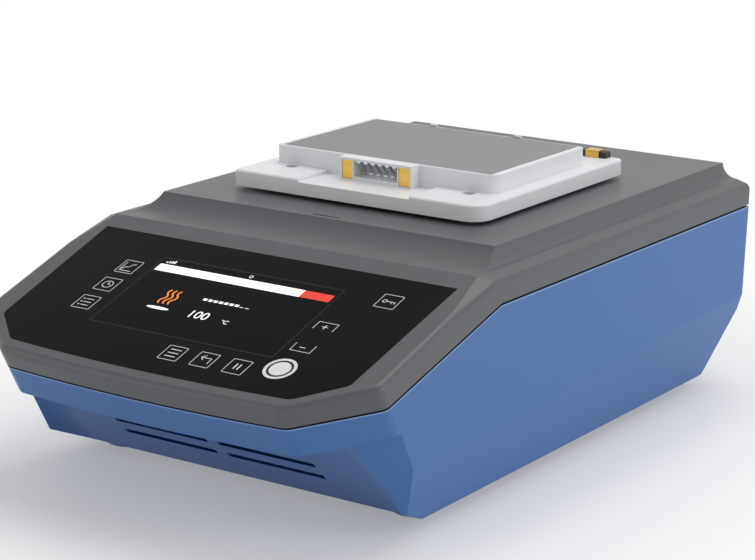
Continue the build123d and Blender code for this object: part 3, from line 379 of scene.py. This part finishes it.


# Finishes of what is printed and shown on the panel

# The print on the glass is no lamp: its glow is painted light.
painted_glow_print_white = lit("white print on glass", colour(206, 208, 208), 0.28)
display_white = lit("lit white of the display", colour(235, 237, 238), 0.75)
display_red = lit("lit red of the display", colour(205, 52, 40), 0.6)
display_orange = lit("lit orange of the display", colour(226, 126, 40), 0.7)
display_rim_grey = moulded(
    "dark rim of the display",
    colour(58, 60, 62),
    roughness=0.5,
    grain=0.5,
    depth=0.0,
    mottle=0.05,
    Specular_IOR_Level=0.1,
)
display_dark = moulded(
    "dark field of the display",
    colour(12, 13, 14),
    roughness=0.3,
    grain=0.8,
    depth=0.0,
    mottle=0.1,
    Specular_IOR_Level=0.08,
)


# The panel's plane. On it, x runs to the right and s up the slope, both in millimetres.

PANEL_ANGLE = radians(18.6)
PANEL_FRONT = Vector((0, -185.2, 72.4))
PRINT_START = 12.9
PRINT_LIFT = 0.03
PRINT_THICKNESS = 0.03

panel_to_frame = (
    Matrix.Scale(MM, 4)
    @ Matrix.Translation(PANEL_FRONT)
    @ Matrix.Rotation(PANEL_ANGLE, 4, "X")
    @ Matrix.Translation(Vector((0, PRINT_START, 0)))
)


def panel_piece(bm, name, finish, body):
    """Turn a bmesh, drawn on the panel in millimetres, into a piece that rides on a body."""
    bmesh.ops.transform(bm, matrix=panel_to_frame, verts=bm.verts)
    bmesh.ops.recalc_face_normals(bm, faces=bm.faces)
    mesh = bpy.data.meshes.new(name)
    bm.to_mesh(mesh)
    bm.free()
    for face in mesh.polygons:
        face.use_smooth = False
    mesh.materials.append(finish.material)
    piece = bpy.data.objects.new(name, mesh)
    bpy.context.scene.collection.objects.link(piece)
    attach(piece, body)
    return piece


# Flat shapes to draw with

CORNER_STEPS = 4
BEND_STEPS = 12
END_OVERLAP = 0.6


def faces_of(verts):
    return list({face for vert in verts for face in vert.link_faces})


def only_rim(bm, faces, line):
    """Keep a rim of flat faces, as wide as the line."""
    rim = bmesh.ops.inset_region(
        bm, faces=faces, thickness=line, use_boundary=True, use_even_offset=True
    )
    bmesh.ops.delete(bm, geom=faces, context="FACES")
    return rim["faces"]


def raise_faces(bm, faces, thickness=PRINT_THICKNESS):
    """Give flat faces their thickness."""
    made = bmesh.ops.extrude_face_region(bm, geom=faces)
    raised = [v for v in made["geom"] if isinstance(v, bmesh.types.BMVert)]
    bmesh.ops.translate(bm, vec=(0, 0, thickness), verts=raised)


def field(bm, left, right, low, high, corner=0.0, line=0.0, lift=PRINT_LIFT, thickness=PRINT_THICKNESS):
    """A rounded rectangle, filled, or as a frame where a line width is given."""
    corners = bmesh.ops.create_grid(bm, x_segments=1, y_segments=1, size=0.5)["verts"]
    bmesh.ops.scale(bm, vec=(right - left, high - low, 1), verts=corners)
    bmesh.ops.translate(bm, vec=((left + right) / 2, (low + high) / 2, lift), verts=corners)
    faces = faces_of(corners)
    if corner:
        cut = bmesh.ops.bevel(
            bm,
            geom=corners,
            offset=corner,
            segments=CORNER_STEPS,
            profile=0.5,
            affect="VERTICES",
            material=-1,
        )
        faces = faces_of(cut["verts"])
    if line:
        faces = only_rim(bm, faces, line)
    raise_faces(bm, faces, thickness)


def dot(bm, x, s, radius, line=0.0, segments=40, flatten=1.0):
    """A round spot, filled, or as a ring where a line width is given."""
    made = bmesh.ops.create_circle(bm, cap_ends=True, radius=radius, segments=segments)
    bmesh.ops.scale(bm, vec=(1, flatten, 1), verts=made["verts"])
    bmesh.ops.translate(bm, vec=(x, s, PRINT_LIFT), verts=made["verts"])
    faces = faces_of(made["verts"])
    if line:
        faces = only_rim(bm, faces, line)
    raise_faces(bm, faces)


def bar(bm, start, end, width):
    """A straight stroke with square ends, a little longer than its run so that corners close."""
    run = Vector(end) - Vector(start)
    middle = (Vector(start) + Vector(end)) / 2
    verts = bmesh.ops.create_grid(bm, x_segments=1, y_segments=1, size=0.5)["verts"]
    bmesh.ops.scale(bm, vec=(run.length + width * END_OVERLAP, width, 1), verts=verts)
    turn = Matrix.Rotation(run.angle_signed(Vector((1, 0))), 3, "Z")
    bmesh.ops.rotate(bm, cent=(0, 0, 0), matrix=turn, verts=verts)
    bmesh.ops.translate(bm, vec=(middle.x, middle.y, PRINT_LIFT), verts=verts)
    raise_faces(bm, faces_of(verts))


def stroke(bm, points, width):
    for start, end in zip(points, points[1:]):
        bar(bm, start, end, width)


def bend(bm, centre, radius, start_angle, sweep, width):
    """A curved stroke, spun round its centre."""
    x, s = centre
    start = radians(start_angle)
    ends = [
        bm.verts.new((x + reach * cos(start), s + reach * sin(start), PRINT_LIFT))
        for reach in (radius - width / 2, radius + width / 2)
    ]
    edge = bm.edges.new(ends)
    before = set(bm.faces)
    bmesh.ops.spin(
        bm,
        geom=[*ends, edge],
        cent=(x, s, PRINT_LIFT),
        axis=(0, 0, 1),
        angle=radians(sweep),
        steps=BEND_STEPS,
    )
    raise_faces(bm, [face for face in bm.faces if face not in before])


# The keys. A pictogram is drawn from its key's lower left corner.

KEY = 11.0
KEY_CENTRE = KEY / 2
KEY_CORNER = 0.7
FRAME_LINE = 0.32
ICON_LINE = 0.42
SIGN_LINE = 0.5
SIGN_REACH = 1.5
LEFT_COLUMN = -72.5
LOWER_ROW = 7.2


def icon_stroke(bm, x, s, *points):
    stroke(bm, [(x + right, s + up) for right, up in points], ICON_LINE)


def rising_curve(bm, x, s):
    """A rising curve between its axes."""
    icon_stroke(bm, x, s, (1.9, 9.0), (1.9, 2.0), (8.7, 2.0))
    icon_stroke(bm, x, s, (2.3, 3.0), (3.9, 5.2), (5.3, 5.2), (6.5, 7.4), (8.3, 8.2))


def clock(bm, x, s):
    dot(bm, x + KEY_CENTRE, s + KEY_CENTRE, 3.0, line=ICON_LINE)
    icon_stroke(bm, x, s, (KEY_CENTRE, 7.3), (KEY_CENTRE, KEY_CENTRE), (6.8, KEY_CENTRE))


def marked_list(bm, x, s):
    """Three lines, each with a mark before it."""
    for up in (8.0, 5.5, 3.0):
        dot(bm, x + 2.5, s + up, 0.5, segments=16)
        icon_stroke(bm, x, s, (3.9, up), (8.3, up))


def three_lines(bm, x, s):
    for up in (8.2, 5.55, 2.9):
        bar(bm, (x + 2.6, s + up), (x + 8.4, s + up), 0.55)


def return_arrow(bm, x, s):
    icon_stroke(bm, x, s, (8.5, 3.2), (8.5, 7.0), (2.9, 7.0))
    icon_stroke(bm, x, s, (4.5, 8.8), (2.7, 7.0), (4.5, 5.2))


def pause_sign(bm, x, s):
    for right in (4.4, 6.6):
        bar(bm, (x + right, s + 3.7), (x + right, s + 7.5), 0.75)


def door_key(bm, x, s):
    """A key lying on its side."""
    dot(bm, x + 3.2, s + KEY_CENTRE, 1.3, line=ICON_LINE, segments=24)
    icon_stroke(bm, x, s, (4.5, KEY_CENTRE), (9.1, KEY_CENTRE))
    for tooth in (7.3, 8.9):
        icon_stroke(bm, x, s, (tooth, KEY_CENTRE), (tooth, 4.2))


KEYS = (
    (LEFT_COLUMN, 64.0, rising_curve),
    (LEFT_COLUMN, 47.5, clock),
    (LEFT_COLUMN, 31.0, marked_list),
    (0.0, LOWER_ROW, three_lines),
    (18.5, LOWER_ROW, return_arrow),
    (37.2, LOWER_ROW, pause_sign),
    (74.7, 74.7, door_key),
)


def half_frame(bm, x, s, width, height):
    """Three sides of a frame from its free end at x, s: up and over, or down and under."""
    corners = [(x, s), (x, s + height), (x + width, s + height), (x + width, s)]
    stroke(bm, corners, FRAME_LINE)


def minus_sign(bm, x, s):
    bar(bm, (x - SIGN_REACH, s), (x + SIGN_REACH, s), SIGN_LINE)


def plus_sign(bm, x, s):
    minus_sign(bm, x, s)
    bar(bm, (x, s - SIGN_REACH), (x, s + SIGN_REACH), SIGN_LINE)


def panel_print():
    """White key outlines and their pictograms, printed on the glass, with a painted glow."""
    bm = bmesh.new()
    for x, s, pictogram in KEYS:
        field(bm, x, x + KEY, s, s + KEY, corner=KEY_CORNER, line=FRAME_LINE)
        pictogram(bm, x, s)
    half_frame(bm, 57.9, 50.4, width=10.9, height=5.8)
    plus_sign(bm, 63.2, 52.7)
    half_frame(bm, 58.0, 37.9, width=11.0, height=-5.8)
    minus_sign(bm, 63.0, 35.2)
    return panel_piece(bm, "panel_key_print", painted_glow_print_white, "housing")


# The lit display

DISPLAY_LEFT, DISPLAY_RIGHT = -54.1, 53.6
DISPLAY_LOW, DISPLAY_HIGH = 24.4, 82.1
DISPLAY_EDGE = 0.5
DISPLAY_SKIN = {"lift": 0.004, "thickness": 0.012}
STATUS_LEFT, STATUS_SPLIT, STATUS_RIGHT = -52.6, 35.0, 52.0
STATUS_LOW, STATUS_HIGH = 71.2, 77.0
SIGNAL_LEFT, SIGNAL_LOW = -50.6, 78.4
SIGNAL_WIDTH, SIGNAL_PITCH = 0.8, 1.5
SIGNAL_HEIGHTS = (0.9, 1.4, 1.9, 2.4)
LEVEL_LEFT, LEVEL_LOW = -9.8, 54.9
LEVEL_WIDTH, LEVEL_PITCH = 2.2, 3.15
LEVEL_MARKS, LEVEL_REACHED = 9, 7
LEVEL_TALL, LEVEL_SHORT = 1.7, 0.3
WAVES = (-30.4, -27.4, -24.4)
WAVE_START, WAVE_PITCH = 48.6, 3.8
WAVE_RADIUS = 2.45
WAVE_SWING = 0.9
WAVE_TURN = 50.8
WAVE_LINE = 0.9
FIGURES_LOW = 40.6


def display_ground():
    """The display's dark field and the rim round it."""
    rim = bmesh.new()
    field(
        rim,
        DISPLAY_LEFT - DISPLAY_EDGE,
        DISPLAY_RIGHT + DISPLAY_EDGE,
        DISPLAY_LOW - DISPLAY_EDGE,
        DISPLAY_HIGH + DISPLAY_EDGE,
        corner=0.8,
        line=0.45,
        **DISPLAY_SKIN,
    )
    panel_piece(rim, "display_rim", display_rim_grey, "housing")
    dark = bmesh.new()
    field(dark, DISPLAY_LEFT, DISPLAY_RIGHT, DISPLAY_LOW, DISPLAY_HIGH, corner=0.4, **DISPLAY_SKIN)
    panel_piece(dark, "display_field", display_dark, "housing")


def status_fields():
    """The status bar with its red end, the small signs above it, the level and the heat sign's dish."""
    bright = bmesh.new()
    field(bright, STATUS_LEFT, STATUS_SPLIT, STATUS_LOW, STATUS_HIGH)
    for index, tall in enumerate(SIGNAL_HEIGHTS):
        left = SIGNAL_LEFT + SIGNAL_PITCH * index
        field(bright, left, left + SIGNAL_WIDTH, SIGNAL_LOW, SIGNAL_LOW + tall)
    dot(bright, 1.0, 79.6, 1.1, line=0.3, segments=24)
    dot(bright, -27.7, 42.8, 6.7, segments=48, flatten=0.16)
    for index in range(LEVEL_MARKS):
        left = LEVEL_LEFT + LEVEL_PITCH * index
        tall = LEVEL_TALL if index < LEVEL_REACHED else LEVEL_SHORT
        field(bright, left, left + LEVEL_WIDTH, LEVEL_LOW, LEVEL_LOW + tall)
    panel_piece(bright, "display_white_fields", display_white, "housing")
    red = bmesh.new()
    field(red, STATUS_SPLIT, STATUS_RIGHT, STATUS_LOW, STATUS_HIGH)
    panel_piece(red, "display_red_field", display_red, "housing")


def heat_waves():
    """Three rising waves, each of three bends that swing to either side in turn."""
    heat = bmesh.new()
    for x in WAVES:
        for step, side in enumerate((1, -1, 1)):
            centre = (x + side * (WAVE_RADIUS - WAVE_SWING), WAVE_START + WAVE_PITCH * step)
            start_angle = 180 - WAVE_TURN if side > 0 else WAVE_TURN
            bend(heat, centre, WAVE_RADIUS, start_angle, side * 2 * WAVE_TURN, WAVE_LINE)
    panel_piece(heat, "display_heat_sign", display_orange, "housing")


def number(words, size, x, s, name):
    """Plain figures on the display."""
    curve = bpy.data.curves.new(name, "FONT")
    curve.body = words
    curve.size = size
    curve.extrude = PRINT_THICKNESS / 2
    curve.align_x = "LEFT"
    holder = bpy.data.objects.new(name + "_text", curve)
    bpy.context.scene.collection.objects.link(holder)
    bpy.context.view_layer.update()
    mesh = bpy.data.meshes.new_from_object(holder)
    bm = bmesh.new()
    bm.from_mesh(mesh)
    bpy.data.objects.remove(holder)
    bmesh.ops.translate(bm, vec=(x, s, PRINT_LIFT), verts=bm.verts)
    return panel_piece(bm, name, display_white, "housing")


panel_print()
display_ground()
status_fields()
heat_waves()
number("100", 8.2, -9.5, FIGURES_LOW, "display_number")
number("°C", 4.0, 11.0, FIGURES_LOW, "display_unit")


# Floor, light and camera

FLOOR_SIZE = 6.0
FLOOR_REACH_X, FLOOR_REACH_Y = 0.16, 0.24
FLOOR_FADE_START, FLOOR_FADE_END = 0.85, 1.75
FLOOR_VEIL = 0.3
OVAL_POWER = 4.0


def floor():
    """A pale floor that fades into the white around it, in an oval near the part's own outline."""
    bm = bmesh.new()
    bmesh.ops.create_grid(bm, x_segments=1, y_segments=1, size=FLOOR_SIZE)
    mesh = bpy.data.meshes.new("floor")
    bm.to_mesh(mesh)
    bm.free()
    ground = bpy.data.objects.new("floor", mesh)
    bpy.context.scene.collection.objects.link(ground)
    finish = Finish("pale floor", (0.86, 0.86, 0.865, 1.0), 0.55)
    tree = finish.tree
    white = tree.nodes.new("ShaderNodeEmission")
    white.inputs["Color"].default_value = (1, 1, 1, 1)
    mix = tree.nodes.new("ShaderNodeMixShader")
    across = abs(finish.along("X")) / FLOOR_REACH_X
    along = abs(finish.along("Y")) / FLOOR_REACH_Y
    reach = (across ** OVAL_POWER + along ** OVAL_POWER) ** (1 / OVAL_POWER)
    ray = finish.node("LightPath", {}, {}, "Is Camera Ray")
    gloss = finish.node("LightPath", {}, {}, "Is Glossy Ray")
    beyond = finish.ramp(reach, FLOOR_FADE_START, FLOOR_FADE_END)
    fade = FLOOR_VEIL + (1 - FLOOR_VEIL) * beyond
    connect(tree, mix.inputs[0], fade * (ray + gloss).least(1.0))
    tree.links.new(finish.shader.outputs[0], mix.inputs[1])
    tree.links.new(white.outputs[0], mix.inputs[2])
    tree.links.new(mix.outputs[0], tree.nodes["Material Output"].inputs[0])
    mesh.materials.append(finish.material)


SURROUND_LIGHT = 0.42
SURROUND_GLOSS = 0.95
CEILING_GLOSS = 0.28
CEILING_START, CEILING_FULL = 0.36, 0.62


def studio():
    """White surroundings that the camera sees, their reflection with a dim ceiling, and soft light."""
    world = bpy.data.worlds.new("studio")
    bpy.context.scene.world = world
    world.use_nodes = True
    tree = world.node_tree
    ray = tree.nodes.new("ShaderNodeLightPath")
    direction = tree.nodes.new("ShaderNodeTexCoord")
    spread = tree.nodes.new("ShaderNodeSeparateXYZ")
    tree.links.new(direction.outputs["Generated"], spread.inputs[0])
    height = tree.nodes.new("ShaderNodeMapRange")
    tree.links.new(spread.outputs["Z"], height.inputs["Value"])
    from_and_to = (CEILING_START, CEILING_FULL, SURROUND_GLOSS, CEILING_GLOSS)
    for socket, value in enumerate(from_and_to, start=1):
        height.inputs[socket].default_value = value
    seen = Value(tree, ray.outputs["Is Camera Ray"])
    gloss = Value(tree, ray.outputs["Is Glossy Ray"])
    reflected = gloss * Value(tree, height.outputs[0])
    strength = seen + (1.0 - seen) * (reflected + (1.0 - gloss) * SURROUND_LIGHT)
    soft = tree.nodes["Background"]
    soft.inputs["Color"].default_value = (1, 1, 1, 1)
    connect(tree, soft.inputs["Strength"], strength)


def lamp(name, spot, aim, width, height, power):
    """A rectangular lamp at a spot, aimed at a place. Lengths are in metres and power in watts."""
    data = bpy.data.lights.new(name, "AREA")
    data.shape = "RECTANGLE"
    data.size = width
    data.size_y = height
    data.energy = power
    holder = bpy.data.objects.new(name, data)
    bpy.context.scene.collection.objects.link(holder)
    holder.location = spot
    holder.rotation_euler = (Vector(aim) - Vector(spot)).to_track_quat("-Z", "Y").to_euler()


CAMERA_AIM = Vector((0, 0.026, 0.0676))
CAMERA_AZIMUTH = radians(35.04)
CAMERA_ELEVATION = radians(15.11)
CAMERA_DISTANCE = 1.26767
SENSOR_WIDTH = 36.0
PHOTO_WIDTH, PHOTO_HEIGHT = 755, 560
FOCAL_LENGTH = 2458.12
PRINCIPAL_X, PRINCIPAL_Y = 399.93, 290.89


def camera():
    """The photograph's viewpoint. Focal length and principal point are in its pixels."""
    away = Vector((
        sin(CAMERA_AZIMUTH) * cos(CAMERA_ELEVATION),
        -cos(CAMERA_AZIMUTH) * cos(CAMERA_ELEVATION),
        sin(CAMERA_ELEVATION),
    ))
    data = bpy.data.cameras.new("camera")
    data.sensor_width = SENSOR_WIDTH
    data.lens = FOCAL_LENGTH * SENSOR_WIDTH / PHOTO_WIDTH
    data.shift_x = (PHOTO_WIDTH / 2 - PRINCIPAL_X) / PHOTO_WIDTH
    data.shift_y = (PRINCIPAL_Y - PHOTO_HEIGHT / 2) / PHOTO_WIDTH
    data.clip_start = 0.05
    data.clip_end = 50.0
    holder = bpy.data.objects.new("camera", data)
    bpy.context.scene.collection.objects.link(holder)
    holder.location = CAMERA_AIM + away * CAMERA_DISTANCE
    holder.rotation_mode = "QUATERNION"
    holder.rotation_quaternion = (-away).to_track_quat("-Z", "Y")
    bpy.context.scene.camera = holder


floor()
studio()
lamp("overhead", spot=(0.1, 0.5, 1.7), aim=(0, 0, 0.1), width=1.4, height=1.4, power=15)
lamp("front left", spot=(-1.4, -1.5, 1.1), aim=(0, 0, 0.08), width=1.2, height=1.0, power=4)
lamp("right side", spot=(1.9, 0.3, 0.9), aim=(0, 0.05, 0.08), width=1.0, height=1.0, power=9)
camera()
bpy.context.scene.view_settings.view_transform = "Standard"
